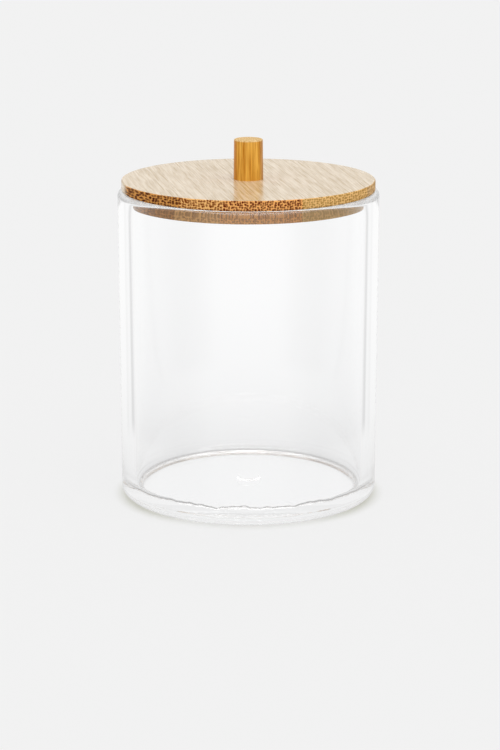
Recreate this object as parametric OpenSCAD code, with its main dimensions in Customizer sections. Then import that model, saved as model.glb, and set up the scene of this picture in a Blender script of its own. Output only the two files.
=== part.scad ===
// Cotton swab holder: a clear moulded jar with a turned bamboo lid.
// Lengths are in millimetres. The axis is Z, and the jar stands on z = 0.

/* [Jar] */
// Outer diameter of the jar at its rim
jar_d = 75.2; // [60:0.2:90]
// Height of the jar from the table to its rim
jar_h = 90; // [70:1:110]
// How much narrower the jar is at its foot, for the draft of the mould
jar_draft = 0.9; // [0:0.1:2]
// Thickness of the wall at the rim
rim_wall = 3.7; // [3:0.1:5]
// Thickness of the wall at the floor
base_wall = 4; // [3:0.1:5]
// Thickness of the floor
floor_t = 2.8; // [1.6:0.1:5]
// Radius of the rounded outer edge of the rim
rim_round = 1.5; // [0.5:0.1:2]
// Radius of the rounded inner edge of the rim
mouth_round = 0.5; // [0.2:0.1:0.9]
// Radius of the fillet between the wall and the floor
floor_fillet = 2; // [0.5:0.1:4]
// Diameter of the round mark of the mould in the middle of the floor
mark_d = 6.4; // [3:0.2:10]
// How far that mark stands up from the floor
mark_h = 0.3; // [0.3:0.1:0.6]
// Radius of the edge of that mark
mark_ease = 0.1; // [0.05:0.05:0.1]

/* [Foot of the jar] */
// Radius of the rounded outer edge of the foot
foot_round = 3.2; // [0.5:0.1:3.5]
// Width of the ring under the jar, from the outer wall inwards
foot_ring_w = 4.6; // [4:0.1:8]
// Height of the hollow inside that ring
foot_hollow = 1.5; // [1.4:0.1:4]
// Radius between the ring and the ceiling of that hollow
hollow_round = 1.2; // [0.2:0.1:1.3]
// Radius of the inner edge of the ring
ring_ease = 0.1; // [0.05:0.05:0.2]

/* [Lid] */
// How far the lid's disc stays inside the jar's outer edge
lid_inset = 1.25; // [0:0.05:2]
// Thickness of the lid's disc
lid_t = 3; // [2:0.1:6]
// Height of the plug under the disc
plug_h = 3.9; // [3:0.1:10]
// Gap between the plug and the jar's mouth, on each side
plug_clearance = 0.5; // [0.2:0.05:1]
// Radius of the eased edges of the disc
lid_ease = 0.4; // [0.1:0.1:0.9]
// Radius of the eased lower edge of the plug
plug_ease = 0.5; // [0.1:0.1:1.5]

/* [Knob] */
// Diameter of the knob where it stands on the lid
knob_d = 8.5; // [7:0.1:20]
// How much narrower the knob is at its top
knob_taper = 0.25; // [0:0.05:1]
// Height of the knob above the lid
knob_h = 11.5; // [6:0.5:25]
// Radius of the eased top edge of the knob
knob_ease = 0.4; // [0.1:0.1:2]
// Diameter of the tenon that holds the knob in the lid
tenon_d = 5; // [3:0.1:6]
// Length of the tenon
tenon_l = 4.2; // [3:0.1:5]
// Gap between the tenon and its bore, on each side
tenon_clearance = 0.1; // [0.05:0.05:0.3]
// Room for glue below the tenon
glue_room = 0.4; // [0.2:0.1:1]

/* [Hidden] */

$fn = 180;
// Straight pieces in each rounded corner of a section
corner_steps = 10;

rim_r = jar_d / 2;
foot_r = rim_r - jar_draft / 2;
mouth_r = rim_r - rim_wall;
well_r = foot_r - base_wall;
hollow_r = foot_r - foot_ring_w;
floor_z = foot_hollow + floor_t;
mark_r = mark_d / 2;
lid_r = rim_r - lid_inset;
plug_r = mouth_r - plug_clearance;
lid_top = jar_h + lid_t;
knob_r = knob_d / 2;
knob_top_r = knob_r - knob_taper / 2;
tenon_r = tenon_d / 2;
bore_d = tenon_d + 2 * tenon_clearance;
bore_depth = tenon_l + glue_room;
// How far a cutter reaches past the face that it opens
past_face = 1;

function unit(v) = v / norm(v);

function turned(v, angle) =
    [v.x * cos(angle) - v.y * sin(angle), v.x * sin(angle) + v.y * cos(angle)];

// The corner p between its neighbours a and b, as points on an arc of radius r
// that leaves both sides smoothly
function corner(a, p, b, r) =
    let (u = unit(a - p), v = unit(b - p))
    let (half = acos(u * v) / 2, centre = p + unit(u + v) * r / sin(half))
    let (start = p + u * r / tan(half) - centre)
    let (turn = (180 - 2 * half) * sign(u.y * v.x - u.x * v.y))
    [for (i = [0:corner_steps]) centre + turned(start, turn * i / corner_steps)];

function place(point) = [point.x, point.y];

// An outline given as [x, y, radius of the corner], with its corners rounded
function rounded(outline) =
    let (n = len(outline))
    [for (i = [0:n - 1])
        let (here = outline[i], before = outline[(i + n - 1) % n], after = outline[(i + 1) % n])
        each here.z == 0 ? [place(here)] : corner(place(before), place(here), place(after), here.z)];

module turned_solid(outline) {
    rotate_extrude()
        polygon(rounded(outline));
}

module jar() {
    color([0.9, 0.94, 0.95, 0.4])
        turned_solid([
            [0, foot_hollow, 0],
            [hollow_r, foot_hollow, hollow_round],
            [hollow_r, 0, ring_ease],
            [foot_r, 0, foot_round],
            [rim_r, jar_h, rim_round],
            [mouth_r, jar_h, mouth_round],
            [well_r, floor_z, floor_fillet],
            [mark_r, floor_z, mark_ease],
            [mark_r, floor_z + mark_h, mark_ease],
            [0, floor_z + mark_h, 0]
        ]);
}

module lid() {
    color([0.88, 0.76, 0.6])
        difference() {
            turned_solid([
                [0, jar_h - plug_h, 0],
                [plug_r, jar_h - plug_h, plug_ease],
                [plug_r, jar_h, 0],
                [lid_r, jar_h, lid_ease],
                [lid_r, lid_top, lid_ease],
                [0, lid_top, 0]
            ]);
            translate([0, 0, lid_top - bore_depth])
                cylinder(d = bore_d, h = bore_depth + past_face);
        }
}

module knob() {
    color([0.81, 0.58, 0.26])
        turned_solid([
            [0, lid_top - tenon_l, 0],
            [tenon_r, lid_top - tenon_l, 0],
            [tenon_r, lid_top, 0],
            [knob_r, lid_top, 0],
            [knob_top_r, lid_top + knob_h, knob_ease],
            [0, lid_top + knob_h, 0]
        ]);
}

jar();
lid();
knob();
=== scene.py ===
"""Cotton swab holder: a clear acrylic jar with a turned bamboo lid and knob, on a pale studio floor.

Every piece is turned about the Z axis. Lengths are in metres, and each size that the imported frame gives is
read from it: the outer radii, the heights of the rim, the disc, the plug, the knob and its tenon.
"""

import bpy
import numpy as np
from bpy.props import FloatProperty, FloatVectorProperty, PointerProperty
from bpy.types import NodeSocket, Operator, Panel, PropertyGroup, Scene
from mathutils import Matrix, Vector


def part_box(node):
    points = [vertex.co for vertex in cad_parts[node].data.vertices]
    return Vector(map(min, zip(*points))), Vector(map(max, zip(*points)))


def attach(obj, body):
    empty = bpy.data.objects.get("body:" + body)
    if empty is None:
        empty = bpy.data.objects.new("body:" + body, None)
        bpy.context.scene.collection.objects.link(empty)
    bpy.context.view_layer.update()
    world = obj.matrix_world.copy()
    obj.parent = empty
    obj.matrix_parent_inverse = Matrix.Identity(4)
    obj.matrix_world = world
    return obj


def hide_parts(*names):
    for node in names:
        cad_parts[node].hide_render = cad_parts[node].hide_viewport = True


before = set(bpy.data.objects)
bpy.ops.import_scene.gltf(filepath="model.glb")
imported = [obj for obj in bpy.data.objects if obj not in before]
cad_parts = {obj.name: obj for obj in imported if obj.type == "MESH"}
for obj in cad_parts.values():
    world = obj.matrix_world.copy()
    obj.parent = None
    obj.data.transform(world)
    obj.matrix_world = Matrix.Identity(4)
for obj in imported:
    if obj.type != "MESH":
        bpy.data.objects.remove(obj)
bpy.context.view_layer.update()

bl_info = {
    "name": "Cotton Swab Holder",
    "version": (1, 0, 0),
    "blender": (4, 5, 0),
    "location": "View3D > Sidebar > Swab Holder",
    "description": "Builds a clear jar with a bamboo lid and knob",
    "category": "Add Mesh",
}

MM = 0.001
_, JAR_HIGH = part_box("jar")
LID_LOW, LID_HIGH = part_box("lid")
KNOB_LOW, KNOB_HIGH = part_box("knob")

# Segments round each turned piece, and the longest straight step along a wall
JAR_TURNS = 320
LID_TURNS = 256
KNOB_TURNS = 96
CORNER_STEPS = 12
LONGEST_STEP = 4 * MM
# Edges that turn more than this stay sharp
SHARP_TURN = np.radians(40)

# The camera: its place in millimetres, its tilt from straight down in degrees and its lens
CAMERA_PLACE = (0.45, -736.8, 218.8)
CAMERA_TILT = 76
LENS = 125

# Bamboo: cycles in a millimetre of its slow wander and of its fine fibres, across, along and up the board,
# and how far the wander carries a bundle of fibres, in millimetres
WANDER_GRAIN = (0.4, 0.07, 0.4)
FIBRE_GRAIN = (1.7, 0.07, 1.7)
WANDER = (1.4, 0.0, 1.4)
# A bundle is dark out to the first of these radii and ends at the second, in shares of its cell
BUNDLE_EDGE = (0.34, 0.5)
# The darkness of the faintest bundle, next to the strongest
FAINTEST_BUNDLE = 0.75
# Shares of bundles and of fine fibres in the dark of the long grain, and in that of the end grain
LONG_MIX = (0.4, 0.6)
END_MIX = (0.9, 0.2)
# The part of a face's normal that lies along the grain, where end grain starts to show and where it is all
# that shows
CUT_SLOPE = (0.02, 0.2)
# How much rougher the end grain is, and its gloss
CUT_ROUGHER = 0.4
CUT_GLOSS = 0.05
# How strongly the dots show on the lid's plug, next to those on its disc
FAINT_DOTS = 0.55

# The glued strips of bamboo: where each starts across the board, in millimetres, and its four colours
PALE, PALE_DARK = (0.89, 0.74, 0.54), (0.54, 0.375, 0.17)
LID_STRIPS = (
    (-38, (PALE, PALE_DARK, (0.74, 0.34, 0.085), (0.08, 0.01, 0.0))),
    (-24.5, (PALE, PALE_DARK, (0.98, 0.55, 0.19), (0.21, 0.04, 0.001))),
    (-13.6, (PALE, PALE_DARK, (1.0, 0.49, 0.15), (0.13, 0.01, 0.0))),
    (8.6, (PALE, PALE_DARK, (0.9, 0.56, 0.22), (0.42, 0.22, 0.05))),
    (30, (PALE, PALE_DARK, (0.78, 0.5, 0.24), (0.4, 0.23, 0.08))),
)
KNOB_ENDS = ((0.88, 0.64, 0.33), (0.66, 0.41, 0.16))
KNOB_STRIPS = (
    (-10, ((0.82, 0.37, 0.05), (0.42, 0.12, 0.002), *KNOB_ENDS)),
    (-3.4, ((1.0, 0.56, 0.1), (0.5, 0.17, 0.003), *KNOB_ENDS)),
    (3.3, ((0.72, 0.4, 0.11), (0.42, 0.15, 0.02), *KNOB_ENDS)),
)

# The acrylic and the lacquer see a painted studio of their own, which only glossy and transmission rays see,
# with its tones set for the front view; its darker parts are painted shade and its bright patch overhead a
# painted highlight.
# Its paper under the jar: the tone by the distance from the axis, in millimetres, darker under the foot and
# close round the jar as painted shadow
PAPER_AND_SHADE_TONES = (
    (0, 0.935), (31.5, 0.925), (33, 0.42), (35, 0.52), (37, 0.74), (42, 0.83), (60, 0.86), (80, 0.885),
    (110, 0.925), (165, 0.953), (268, 0.977), (500, 0.99),
)
# The factor of that tone by how far the jar turned a ray aside, in degrees, with a darker band on each side,
# painted shade that the jar's walls show as dark lines
SIDE_TONES = (
    (0, 1.0), (9, 1.0), (19, 0.995), (28, 0.99), (38, 0.97), (41.5, 0.7), (43, 0.76), (49, 0.97), (180, 0.98),
)
# The distances from the axis, in millimetres, between which that factor and the next one come in
FAR_PAPER = (85, 110)
# The factor for rays off a polished surface, by the angle from straight behind the jar, in degrees: painted
# shade in reflections, darker from each side a little in front of the jar
MIRROR_TONES = ((0, 1.0), (70, 1.0), (95, 0.6), (125, 0.6), (150, 0.98), (180, 1.0))
# The tone of the studio's walls by the height of the ray, as its sine: painted shade, darker towards the
# horizon
WALL_SHADE_TONES = ((0, 0.76), (0.2, 0.88), (0.28, 0.91), (0.6, 1.0), (1, 1.0))
# A painted highlight overhead, a bright patch that only glossy rays see and no lamp: its strength, and the
# heights over which it comes in, as sines
PAINTED_HIGHLIGHT_SHINE = 3.0
PAINTED_HIGHLIGHT_EDGE = (0.8, 0.95)
# Radius of the jar's inner wall, a little above its middle, in millimetres
GRAZING = 33.6

# The painted contact shadow, a dark line where the jar stands: its strength in the middle of the front, and
# the distances to the side between which it grows to its full strength
FRONT_CONTACT_SHADOW = 0.3
CONTACT_SHADOW_GROWS = (15 * MM, 35 * MM)

# The waves along the edge of the jar's floor, as (size, waves in a turn, start)
FLOW_WAVES = ((1.0, 11, 0.3), (0.8, 19, 1.9), (0.5, 37, 4.1), (0.5, 67, 2.2))

# Light turns many times inside the thick foot of the jar before it comes out
LIGHT_BOUNCES = 256


def length(name, description, millimetres):
    """A length that a user can change, given here in millimetres."""
    return FloatProperty(
        name=name, description=description, default=millimetres * MM, min=0, unit="LENGTH", precision=5
    )


def share(name, description, default):
    """A plain number from 0 to 1."""
    return FloatProperty(name=name, description=description, default=default, min=0, max=1)


def tint(name, description, default):
    """A linear colour."""
    return FloatVectorProperty(
        name=name, description=description, default=default, size=3, min=0, max=1, subtype="COLOR"
    )


class JarSettings(PropertyGroup):
    rim_wall: length("Rim wall", "Thickness of the wall at the rim", 3.7)
    base_wall: length("Base wall", "Thickness of the wall at the floor", 4.0)
    draft: length("Draft", "How much smaller the outer radius is at the foot", 0.45)
    floor_thickness: length("Floor", "Thickness of the floor", 2.8)
    foot_hollow: length("Foot hollow", "Height of the hollow under the floor", 1.5)
    foot_ring: length("Foot ring", "Width of the ring under the jar, from the outer wall", 4.6)
    rim_round: length("Rim rounding", "Radius of the outer edge of the rim", 1.5)
    mouth_round: length("Mouth rounding", "Radius of the inner edge of the rim", 0.5)
    floor_fillet: length("Floor fillet", "Radius between the wall and the floor", 2.0)
    foot_round: length("Foot rounding", "Radius of the outer edge of the foot", 3.2)
    hollow_round: length("Hollow rounding", "Radius between the ring and the hollow's ceiling", 1.2)
    ring_ease: length("Ring ease", "Radius of the inner edge of the ring", 0.1)
    mark_radius: length("Mark radius", "Radius of the mould's mark in the middle of the floor", 3.2)
    mark_height: length("Mark height", "How far the mark stands up from the floor", 0.3)
    mark_ease: length("Mark ease", "Radius of the edge of the mark", 0.28)
    ripple: length("Ripple", "Height of the waves along the front edge of the floor", 0.25)
    colour: tint("Acrylic", "Colour of the clear acrylic", (0.995, 0.996, 0.998))
    ior: FloatProperty(name="IOR", description="Refractive index of acrylic", default=1.49, min=1, max=2)


class LidSettings(PropertyGroup):
    plug_clearance: length("Plug clearance", "Gap between the plug and the mouth, each side", 0.5)
    rest_gap: length("Rest gap", "Film of air between the disc and the rim that it rests on", 0.04)
    disc_ease: length("Disc ease", "Radius of the eased edges of the disc", 0.4)
    plug_ease: length("Plug ease", "Radius of the eased lower edge of the plug", 0.5)
    bore_radius: length("Bore radius", "Radius of the bore for the knob's tenon", 2.6)
    glue_room: length("Glue room", "Room for glue below the tenon", 0.4)
    grain_turn: FloatProperty(
        name="Grain direction",
        description="Turn of the grain from the Y axis, about Z",
        default=np.radians(-10.5),
        subtype="ANGLE",
    )


class KnobSettings(PropertyGroup):
    taper: length("Taper", "How much smaller the knob's radius is at its top", 0.125)
    top_ease: length("Top ease", "Radius of the eased top edge", 0.4)
    tenon_radius: length("Tenon radius", "Radius of the tenon in the lid", 2.5)


class StudioSettings(PropertyGroup):
    floor_colour: tint("Floor", "Colour of the floor", (0.887, 0.887, 0.887))
    flatness: share("Flatness", "How much of the floor shows as one flat tone, next to its lit tone", 0.93)
    # Painted contact shadow: its reach, and its colour at its darkest
    contact: length("Contact", "Reach of the dark line where a piece stands on the floor", 4.0)
    contact_shadow_colour: tint("Contact shade", "Colour of that line at its darkest", (0.56, 0.56, 0.49))
    sky: FloatProperty(
        name="Sky", description="Strength of the even light from all round", default=0.7, min=0
    )
    key: FloatProperty(
        name="Key", description="Strength of the broad lamp above", default=1.0, min=0
    )


def unit(vector):
    """The same direction with a length of 1."""
    return vector / np.linalg.norm(vector)


def rounded_profile(corners):
    """Rounds the corners of a section. Each corner is (radius from the axis, height, rounding).

    A rounded corner becomes the arc centre + rounding (cos t, sin t) that leaves both sides smoothly, and a
    straight side longer than LONGEST_STEP gets even points between its ends.
    """
    places = np.array([corner[:2] for corner in corners])
    parts = []
    for i, (_, _, rounding) in enumerate(corners):
        here = places[i]
        if rounding == 0:
            parts.append(here[None])
            continue
        back, on = unit(places[i - 1] - here), unit(places[(i + 1) % len(places)] - here)
        half = np.arccos(back @ on) / 2
        centre = here + unit(back + on) * rounding / np.sin(half)
        start = here + back * rounding / np.tan(half) - centre
        turn = (np.pi - 2 * half) * np.sign(back[1] * on[0] - back[0] * on[1])
        t = np.arctan2(start[1], start[0]) + np.linspace(0, turn, CORNER_STEPS + 1)
        parts.append(centre + rounding * np.stack((np.cos(t), np.sin(t)), axis=1))
    outline = np.concatenate(parts)
    steps = [
        np.linspace(a, b, max(1, int(np.ceil(np.linalg.norm(b - a) / LONGEST_STEP))), endpoint=False)
        for a, b in zip(outline[:-1], outline[1:])
    ]
    return np.concatenate(steps + [outline[-1:]])


def turned_piece(name, profile, turns, ripple=None):
    """Carries a section round the Z axis: point (i, j) is (r_i cos a_j, r_i sin a_j, h_i).

    The section starts and ends on the axis, and those two points become poles. It runs outwards along the
    underside and back inwards along the top, so every face points outwards. ripple(r, h, a) may move the
    rows of r and h a little.
    """
    angle = np.arange(turns) * (2 * np.pi / turns)
    radius, height = profile[1:-1, :1], profile[1:-1, 1:]
    if ripple is not None:
        radius, height = ripple(radius, height, angle)
    flat = np.zeros((len(profile) - 2, turns))
    grid = np.stack((radius * np.cos(angle), radius * np.sin(angle), height + flat), axis=-1)
    poles = np.array([[0, 0, profile[0, 1]], [0, 0, profile[-1, 1]]])
    index = np.arange(flat.size).reshape(flat.shape)
    beside = np.roll(index, -1, axis=1)
    walls = np.stack((index[:-1], beside[:-1], beside[1:], index[1:]), axis=-1).reshape(-1, 4)
    first, last = np.full(turns, flat.size), np.full(turns, flat.size + 1)
    under = np.stack((first, beside[0], index[0]), axis=1)
    top = np.stack((last, index[-1], beside[-1]), axis=1)
    mesh = bpy.data.meshes.new(name)
    mesh.from_pydata(
        np.concatenate((grid.reshape(-1, 3), poles)), [], walls.tolist() + under.tolist() + top.tolist()
    )
    mesh.shade_smooth()
    mesh.set_sharp_from_angle(angle=SHARP_TURN)
    piece = bpy.data.objects.new(name, mesh)
    bpy.context.scene.collection.objects.link(piece)
    return piece


def add_node(tree, kind, inputs=None, **settings):
    """Adds a shader node. An input's value is a number or a colour, or the socket that it is linked to."""
    made = tree.nodes.new(kind)
    for name, value in settings.items():
        setattr(made, name, value)
    for key, value in (inputs or {}).items():
        if isinstance(value, NodeSocket):
            tree.links.new(value, made.inputs[key])
        else:
            made.inputs[key].default_value = value
    return made


def maths(tree, operation, *values):
    """A Math node on numbers or sockets."""
    return add_node(tree, "ShaderNodeMath", dict(enumerate(values)), operation=operation).outputs[0]


def blended(tree, amount, first, second, mode="MIX"):
    """A colour mix. The amount and both colours are values or sockets."""
    return add_node(
        tree, "ShaderNodeMix", {0: amount, 6: first, 7: second}, data_type="RGBA", blend_type=mode
    ).outputs[2]


def ranged(tree, value, low, high, to_low=0.0, to_high=1.0, smooth=True):
    """Carries value from low..high to to_low..to_high, clamped, with a smooth step or in a straight line."""
    return add_node(
        tree,
        "ShaderNodeMapRange",
        {0: value, 1: low, 2: high, 3: to_low, 4: to_high},
        interpolation_type="SMOOTHSTEP" if smooth else "LINEAR",
    ).outputs[0]


def new_material(name):
    """An empty material with a Principled shader linked to its output, as (material, tree, shader)."""
    material = bpy.data.materials.new(name)
    material.use_nodes = True
    tree = material.node_tree
    tree.nodes.clear()
    shader = add_node(tree, "ShaderNodeBsdfPrincipled")
    add_node(tree, "ShaderNodeOutputMaterial", {"Surface": shader.outputs[0]})
    return material, tree, shader


def opaque(colour):
    """The colour with an alpha of 1."""
    return (*colour, 1.0)


def clear_acrylic(settings):
    """Polished clear acrylic, which bends light as a solid."""
    material, tree, shader = new_material("clear_acrylic")
    shader.inputs["Base Color"].default_value = opaque(settings.colour)
    shader.inputs["Transmission Weight"].default_value = 1.0
    shader.inputs["IOR"].default_value = settings.ior
    shader.inputs["Roughness"].default_value = 0.0
    return material


def strip_colours(tree, across, strips, which):
    """The colour of the glued strip at a place across the board.

    Each strip is (its low edge in millimetres, its colours), and which picks one of those colours.
    """
    low, high = strips[0][0], -strips[0][0]
    ramp = add_node(tree, "ShaderNodeValToRGB", {0: ranged(tree, across, low, high, smooth=False)})
    ramp.color_ramp.interpolation = "CONSTANT"
    points = ramp.color_ramp.elements
    points.remove(points[1])
    for i, (edge, colours) in enumerate(strips):
        point = points[0] if i == 0 else points.new((edge - low) / (high - low))
        point.color = opaque(colours[which])
    return ramp.outputs["Color"]


def bamboo(name, turn, tilt, strips, cell, roughness, gloss, joint=-200):
    """Bamboo as a solid, glued from strips: bundles of dark fibres run along the grain, the board's Y axis.

    The bundles are the cells of a flat pattern across the grain, cell millimetres apart, and they wander a
    little along it. Cut across they show as close dark dots, and cut along as fine soft streaks. A strip's
    colours are its long grain, light and dark, and then its end grain, light and dark. Below the joint, a
    height in millimetres, the board has fainter dots, and left at its default it lies below every piece.
    """
    material, tree, shader = new_material(name)
    place = add_node(tree, "ShaderNodeTexCoord")
    board = add_node(
        tree,
        "ShaderNodeMapping",
        {"Vector": place.outputs["Object"], "Rotation": (tilt, 0, turn), "Scale": (1 / MM,) * 3},
    ).outputs[0]
    stretched = add_node(tree, "ShaderNodeMapping", {"Vector": board, "Scale": WANDER_GRAIN}).outputs[0]
    wander = add_node(
        tree, "ShaderNodeTexNoise", {"Vector": stretched, "Scale": 1.0, "Detail": 2.0}
    ).outputs["Color"]
    moved = add_node(
        tree, "ShaderNodeVectorMath", {0: wander, 1: WANDER, 2: board}, operation="MULTIPLY_ADD"
    ).outputs[0]
    parts = add_node(tree, "ShaderNodeSeparateXYZ", {0: moved}).outputs
    section = add_node(tree, "ShaderNodeCombineXYZ", {0: parts[0], 1: parts[2]}).outputs[0]
    cells = add_node(
        tree, "ShaderNodeTexVoronoi", {"Vector": section, "Scale": 1 / cell, "Randomness": 0.55},
        voronoi_dimensions="2D",
    )
    bundle = ranged(tree, cells.outputs["Distance"], *BUNDLE_EDGE, 1.0, 0.0)
    chance = add_node(tree, "ShaderNodeSeparateXYZ", {0: cells.outputs["Color"]}).outputs[0]
    bundle = maths(tree, "MULTIPLY", bundle, ranged(tree, chance, 0.0, 1.0, FAINTEST_BUNDLE))
    fine = add_node(tree, "ShaderNodeMapping", {"Vector": board, "Scale": FIBRE_GRAIN}).outputs[0]
    fibres = add_node(tree, "ShaderNodeTexNoise", {"Vector": fine, "Scale": 1.0, "Detail": 2.0}).outputs[0]
    fibres = ranged(tree, fibres, 0.35, 0.65, smooth=False)

    facing = add_node(
        tree,
        "ShaderNodeMapping",
        {"Vector": place.outputs["Normal"], "Rotation": (tilt, 0, turn)},
        vector_type="NORMAL",
    ).outputs[0]
    along = add_node(tree, "ShaderNodeSeparateXYZ", {0: facing}).outputs[1]
    cut = ranged(tree, maths(tree, "ABSOLUTE", along), *CUT_SLOPE)

    across, _, height = add_node(tree, "ShaderNodeSeparateXYZ", {0: board}).outputs
    fainter = ranged(tree, height, joint - 0.01, joint + 0.01, FAINT_DOTS, 1.0)
    long_light, long_dark, end_light, end_dark = (strip_colours(tree, across, strips, i) for i in range(4))
    streak = maths(tree, "MULTIPLY_ADD", bundle, LONG_MIX[0], maths(tree, "MULTIPLY", fibres, LONG_MIX[1]))
    long_grain = blended(tree, streak, long_light, long_dark)
    speckle = maths(tree, "MULTIPLY_ADD", fibres, END_MIX[1], maths(tree, "MULTIPLY", bundle, END_MIX[0]))
    end_grain = blended(tree, maths(tree, "MULTIPLY", speckle, fainter), end_light, end_dark)
    tree.links.new(blended(tree, cut, long_grain, end_grain), shader.inputs["Base Color"])
    rougher = maths(tree, "MULTIPLY_ADD", cut, CUT_ROUGHER, roughness)
    tree.links.new(rougher, shader.inputs["Roughness"])
    duller = maths(tree, "MULTIPLY_ADD", cut, CUT_GLOSS - gloss, gloss)
    tree.links.new(duller, shader.inputs["Specular IOR Level"])
    relief = add_node(
        tree, "ShaderNodeBump", {"Strength": 0.25, "Distance": 0.02 * MM, "Height": fibres}
    ).outputs[0]
    tree.links.new(relief, shader.inputs["Normal"])
    return material


def seen_by(tree, *rays):
    """1 for the kinds of ray that are named, and 0 for the others."""
    path = add_node(tree, "ShaderNodeLightPath")
    amount = path.outputs[rays[0]]
    for ray in rays[1:]:
        amount = maths(tree, "MAXIMUM", amount, path.outputs[ray])
    return amount


def pale_floor(studio):
    """A pale floor that shows mostly as one flat tone, with a painted contact shadow, a dark line drawn by
    ambient occlusion, where something stands on it.

    The acrylic and the lacquer see the same floor as painted paper, by its paper tone, with painted shade
    round the jar.
    """
    material, tree, shader = new_material("pale_floor")
    shader.inputs["Base Color"].default_value = opaque(studio.floor_colour)
    shader.inputs["Roughness"].default_value = 1.0
    shader.inputs["Specular IOR Level"].default_value = 0.0
    place = add_node(tree, "ShaderNodeTexCoord").outputs["Object"]
    open_sky = add_node(
        tree, "ShaderNodeAmbientOcclusion", {"Distance": studio.contact}, samples=16
    ).outputs["AO"]
    # Painted contact shadow: the flat tone turns towards the contact shade colour where ambient occlusion
    # finds a piece close by, less where x is near zero, in the middle of the front and back
    beside = maths(tree, "ABSOLUTE", add_node(tree, "ShaderNodeSeparateXYZ", {0: place}).outputs[0])
    closed = ranged(tree, open_sky, 0.0, 1.0, 1.0, 0.0)
    dark = maths(tree, "MULTIPLY", closed, ranged(tree, beside, *CONTACT_SHADOW_GROWS, FRONT_CONTACT_SHADOW))
    shade = blended(tree, dark, opaque(studio.floor_colour), opaque(studio.contact_shadow_colour))
    flat = add_node(tree, "ShaderNodeEmission", {"Color": shade, "Strength": 1.0})
    paper = add_node(tree, "ShaderNodeEmission", {"Color": paper_and_shade_tone(tree, place), "Strength": 1.0})
    shown = add_node(tree, "ShaderNodeMixShader", {
        0: maths(tree, "MULTIPLY", seen_by(tree, "Is Camera Ray"), studio.flatness),
        1: shader.outputs[0],
        2: flat.outputs[0],
    })
    through = add_node(tree, "ShaderNodeMixShader", {
        0: seen_by(tree, "Is Glossy Ray", "Is Transmission Ray"),
        1: shown.outputs[0],
        2: paper.outputs[0],
    })
    output = next(n for n in tree.nodes if n.type == "OUTPUT_MATERIAL")
    tree.links.new(through.outputs[0], output.inputs["Surface"])
    return material


def grey_ramp(tree, value, tones):
    """A ramp of greys in straight lines. Each tone is (place, grey), from 0 to the last place."""
    reach = tones[-1][0]
    ramp = add_node(tree, "ShaderNodeValToRGB", {0: maths(tree, "DIVIDE", value, reach)})
    points = ramp.color_ramp.elements
    while len(points) < len(tones):
        points.new(1.0)
    for point, (place, grey) in zip(points, tones):
        point.position = place / reach
        point.color = opaque((grey, grey, grey))
    return ramp.outputs["Color"]


def degrees_aside(tree, across, along):
    """The angle from straight behind the jar, 0 to 180 degrees, of a place or a direction."""
    return maths(tree, "DEGREES", maths(tree, "ABSOLUTE", maths(tree, "ARCTAN2", across, along)))


def mirrored_share(tree, aside):
    """MIRROR_TONES, painted shade in reflections, for rays that a polished surface throws back, and 1 for all
    others.
    """
    share_left = grey_ramp(tree, aside, MIRROR_TONES)
    return blended(tree, seen_by(tree, "Is Glossy Ray"), opaque((1, 1, 1)), share_left)


def paper_and_shade_tone(tree, place):
    """The tone of the painted paper: bright under the jar, darker under its foot and close round it as
    painted shadow, and paler again far off.

    Far from the foot SIDE_TONES and MIRROR_TONES come in too. A ray that the wall turned aside by t runs past
    the axis at the distance GRAZING, so it lands at the angle t + arcsin(GRAZING / away).
    """
    place = add_node(
        tree, "ShaderNodeVectorMath", {0: place, 1: (1 / MM,) * 3}, operation="MULTIPLY"
    ).outputs[0]
    away = add_node(tree, "ShaderNodeVectorMath", {0: place}, operation="LENGTH").outputs["Value"]
    parts = add_node(tree, "ShaderNodeSeparateXYZ", {0: place}).outputs
    aside = degrees_aside(tree, parts[0], parts[1])
    lead = maths(tree, "ARCSINE", maths(tree, "MINIMUM", maths(tree, "DIVIDE", GRAZING, away), 1.0))
    turned = maths(tree, "SUBTRACT", aside, maths(tree, "DEGREES", lead))
    tone = grey_ramp(tree, away, PAPER_AND_SHADE_TONES)
    far = ranged(tree, away, *FAR_PAPER)
    tone = blended(tree, far, tone, grey_ramp(tree, turned, SIDE_TONES), "MULTIPLY")
    return blended(tree, far, tone, mirrored_share(tree, aside), "MULTIPLY")


def put_in_place(piece, material, node):
    """Dresses a piece, lets it ride on the one body and hides the node that it stands for."""
    piece.data.materials.append(material)
    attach(piece, "root")
    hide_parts(node)


class SWABHOLDER_OT_jar(Operator):
    """Add the clear acrylic jar"""

    bl_idname = "swab_holder.jar"
    bl_label = "Jar"

    def execute(self, context):
        jar = context.scene.swab_jar
        rim, height = JAR_HIGH.x, JAR_HIGH.z
        foot = rim - jar.draft
        hollow = foot - jar.foot_ring
        floor_top = jar.foot_hollow + jar.floor_thickness
        profile = rounded_profile([
            (0, jar.foot_hollow, 0),
            (hollow, jar.foot_hollow, jar.hollow_round),
            (hollow, 0, jar.ring_ease),
            (foot, 0, jar.foot_round),
            (rim, height, jar.rim_round),
            (rim - jar.rim_wall, height, jar.mouth_round),
            (foot - jar.base_wall, floor_top, jar.floor_fillet),
            (jar.mark_radius, floor_top, jar.mark_ease),
            (jar.mark_radius, floor_top + jar.mark_height, jar.mark_ease),
            (0, floor_top + jar.mark_height, 0),
        ])
        edge = (foot - jar.base_wall, floor_top)

        def ripple(radius, height, angle):
            """Shallow waves where the floor meets the front wall, as the mould's flow left them."""
            near = np.exp(-((radius - edge[0]) ** 2 + (height - edge[1]) ** 2) / jar.floor_fillet ** 2)
            front = np.clip(np.cos(angle + np.pi / 2), 0, 1) ** 2
            waves = sum(size * np.sin(count * angle + start) for size, count, start in FLOW_WAVES)
            return radius, height + jar.ripple * near * front * waves

        piece = turned_piece("acrylic_jar", profile, JAR_TURNS, ripple)
        put_in_place(piece, clear_acrylic(jar), "jar")
        return {"FINISHED"}


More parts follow.
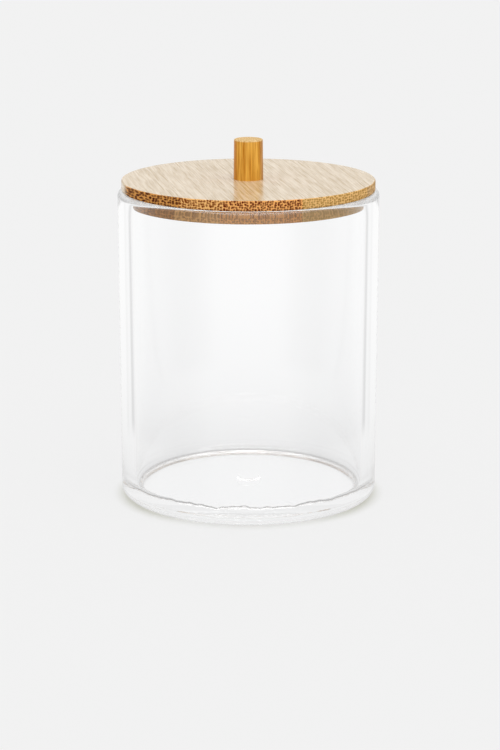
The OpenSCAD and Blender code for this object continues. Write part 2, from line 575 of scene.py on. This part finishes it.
class SWABHOLDER_OT_lid(Operator):
    """Add the turned bamboo lid"""

    bl_idname = "swab_holder.lid"
    bl_label = "Lid"

    def execute(self, context):
        lid, jar = context.scene.swab_lid, context.scene.swab_jar
        plug = JAR_HIGH.x - jar.rim_wall - lid.plug_clearance
        bore_floor = KNOB_LOW.z - lid.glue_room
        under_disc = JAR_HIGH.z + lid.rest_gap
        profile = rounded_profile([
            (0, LID_LOW.z, 0),
            (plug, LID_LOW.z, lid.plug_ease),
            (plug, under_disc, 0),
            (LID_HIGH.x, under_disc, lid.disc_ease),
            (LID_HIGH.x, LID_HIGH.z, lid.disc_ease),
            (lid.bore_radius, LID_HIGH.z, 0),
            (lid.bore_radius, bore_floor, 0),
            (0, bore_floor, 0),
        ])
        piece = turned_piece("bamboo_lid", profile, LID_TURNS)
        wood = bamboo(
            "bamboo_lid", lid.grain_turn, 0, LID_STRIPS,
            cell=0.7, roughness=0.2, gloss=0.5, joint=JAR_HIGH.z / MM,
        )
        put_in_place(piece, wood, "lid")
        return {"FINISHED"}


class SWABHOLDER_OT_knob(Operator):
    """Add the bamboo knob with its tenon"""

    bl_idname = "swab_holder.knob"
    bl_label = "Knob"

    def execute(self, context):
        knob = context.scene.swab_knob
        profile = rounded_profile([
            (0, KNOB_LOW.z, 0),
            (knob.tenon_radius, KNOB_LOW.z, 0),
            (knob.tenon_radius, LID_HIGH.z, 0),
            (KNOB_HIGH.x, LID_HIGH.z, 0),
            (KNOB_HIGH.x - knob.taper, KNOB_HIGH.z, knob.top_ease),
            (0, KNOB_HIGH.z, 0),
        ])
        piece = turned_piece("bamboo_knob", profile, KNOB_TURNS)
        wood = bamboo("bamboo_knob", 0, np.pi / 2, KNOB_STRIPS, cell=0.66, roughness=0.3, gloss=0.1)
        put_in_place(piece, wood, "knob")
        return {"FINISHED"}


class SWABHOLDER_OT_studio(Operator):
    """Add the camera, the light and the pale floor"""

    bl_idname = "swab_holder.studio"
    bl_label = "Studio"

    def execute(self, context):
        scene, studio = context.scene, context.scene.swab_studio
        scene.view_settings.view_transform = "Standard"
        scene.cycles.max_bounces = LIGHT_BOUNCES
        scene.cycles.glossy_bounces = LIGHT_BOUNCES
        scene.cycles.transmission_bounces = LIGHT_BOUNCES
        self.add_camera(scene)
        self.add_floor(scene, studio)
        self.add_world(scene, studio)
        self.add_key(scene, studio)
        return {"FINISHED"}

    def add_camera(self, scene):
        data = bpy.data.cameras.new("camera")
        data.lens = LENS
        camera = bpy.data.objects.new("camera", data)
        camera.location = [value * MM for value in CAMERA_PLACE]
        camera.rotation_euler = (np.radians(CAMERA_TILT), 0, 0)
        scene.collection.objects.link(camera)
        scene.camera = camera

    def add_floor(self, scene, studio):
        reach, gap = 12.0, 0.05 * MM
        mesh = bpy.data.meshes.new("floor")
        mesh.from_pydata(
            [(-reach, -reach, -gap), (reach, -reach, -gap), (reach, reach, -gap), (-reach, reach, -gap)],
            [], [(0, 1, 2, 3)],
        )
        floor = bpy.data.objects.new("floor", mesh)
        scene.collection.objects.link(floor)
        mesh.materials.append(pale_floor(studio))

    def add_world(self, scene, studio):
        world = bpy.data.worlds.new("studio")
        world.use_nodes = True
        tree = world.node_tree
        tree.nodes.clear()
        light = add_node(tree, "ShaderNodeBackground", {"Color": (1, 1, 1, 1), "Strength": studio.sky})
        way = add_node(tree, "ShaderNodeSeparateXYZ", {
            0: add_node(tree, "ShaderNodeTexCoord").outputs["Generated"]
        }).outputs
        # Painted highlight: a bright patch overhead that only glossy rays see; it is no lamp
        overhead = ranged(tree, way[2], *PAINTED_HIGHLIGHT_EDGE, 0.0, PAINTED_HIGHLIGHT_SHINE)
        lamp = maths(tree, "MULTIPLY", seen_by(tree, "Is Glossy Ray"), overhead)
        aside = degrees_aside(tree, way[0], way[1])
        # Painted shade in reflections and refractions: the walls darker towards the horizon, and for glossy
        # rays at the sides
        walls = blended(
            tree, 1.0, mirrored_share(tree, aside), grey_ramp(tree, way[2], WALL_SHADE_TONES), "MULTIPLY"
        )
        shine = maths(tree, "ADD", walls, lamp)
        paper = add_node(tree, "ShaderNodeBackground", {"Color": (1, 1, 1, 1), "Strength": shine})
        shown = add_node(
            tree, "ShaderNodeBackground", {"Color": opaque(studio.floor_colour), "Strength": 1.0}
        )
        mirrored = add_node(tree, "ShaderNodeMixShader", {
            0: seen_by(tree, "Is Glossy Ray", "Is Transmission Ray"), 1: light.outputs[0], 2: paper.outputs[0]
        })
        mix = add_node(tree, "ShaderNodeMixShader", {
            0: seen_by(tree, "Is Camera Ray"), 1: mirrored.outputs[0], 2: shown.outputs[0]
        })
        add_node(tree, "ShaderNodeOutputWorld", {"Surface": mix.outputs[0]})
        scene.world = world

    def add_key(self, scene, studio):
        data = bpy.data.lights.new("key", "SUN")
        data.energy = studio.key
        data.angle = np.radians(60)
        key = bpy.data.objects.new("key", data)
        key.rotation_euler = (np.radians(25), np.radians(10), 0)
        scene.collection.objects.link(key)


class SWABHOLDER_PT_panel(Panel):
    """The pieces of the cotton swab holder and their settings"""

    bl_label = "Cotton Swab Holder"
    bl_idname = "SWABHOLDER_PT_panel"
    bl_space_type = "VIEW_3D"
    bl_region_type = "UI"
    bl_category = "Swab Holder"

    def draw(self, context):
        for operator, settings in PIECES:
            box = self.layout.box()
            box.operator(operator.bl_idname)
            values = getattr(context.scene, settings)
            for name in values.__annotations__:
                box.prop(values, name)


PIECES = (
    (SWABHOLDER_OT_studio, "swab_studio"),
    (SWABHOLDER_OT_jar, "swab_jar"),
    (SWABHOLDER_OT_lid, "swab_lid"),
    (SWABHOLDER_OT_knob, "swab_knob"),
)
SETTINGS = {
    "swab_jar": JarSettings,
    "swab_lid": LidSettings,
    "swab_knob": KnobSettings,
    "swab_studio": StudioSettings,
}
CLASSES = (*SETTINGS.values(), *(operator for operator, _ in PIECES), SWABHOLDER_PT_panel)


def register():
    """Registers the settings, the operators and the panel."""
    for cls in CLASSES:
        bpy.utils.register_class(cls)
    for name, group in SETTINGS.items():
        setattr(Scene, name, PointerProperty(type=group))


def unregister():
    """Takes them out again."""
    for name in SETTINGS:
        delattr(Scene, name)
    for cls in reversed(CLASSES):
        bpy.utils.unregister_class(cls)


def main():
    """Builds the studio and the three pieces."""
    register()
    bpy.ops.swab_holder.studio()
    bpy.ops.swab_holder.jar()
    bpy.ops.swab_holder.lid()
    bpy.ops.swab_holder.knob()


if __name__ == "__main__":
    main()
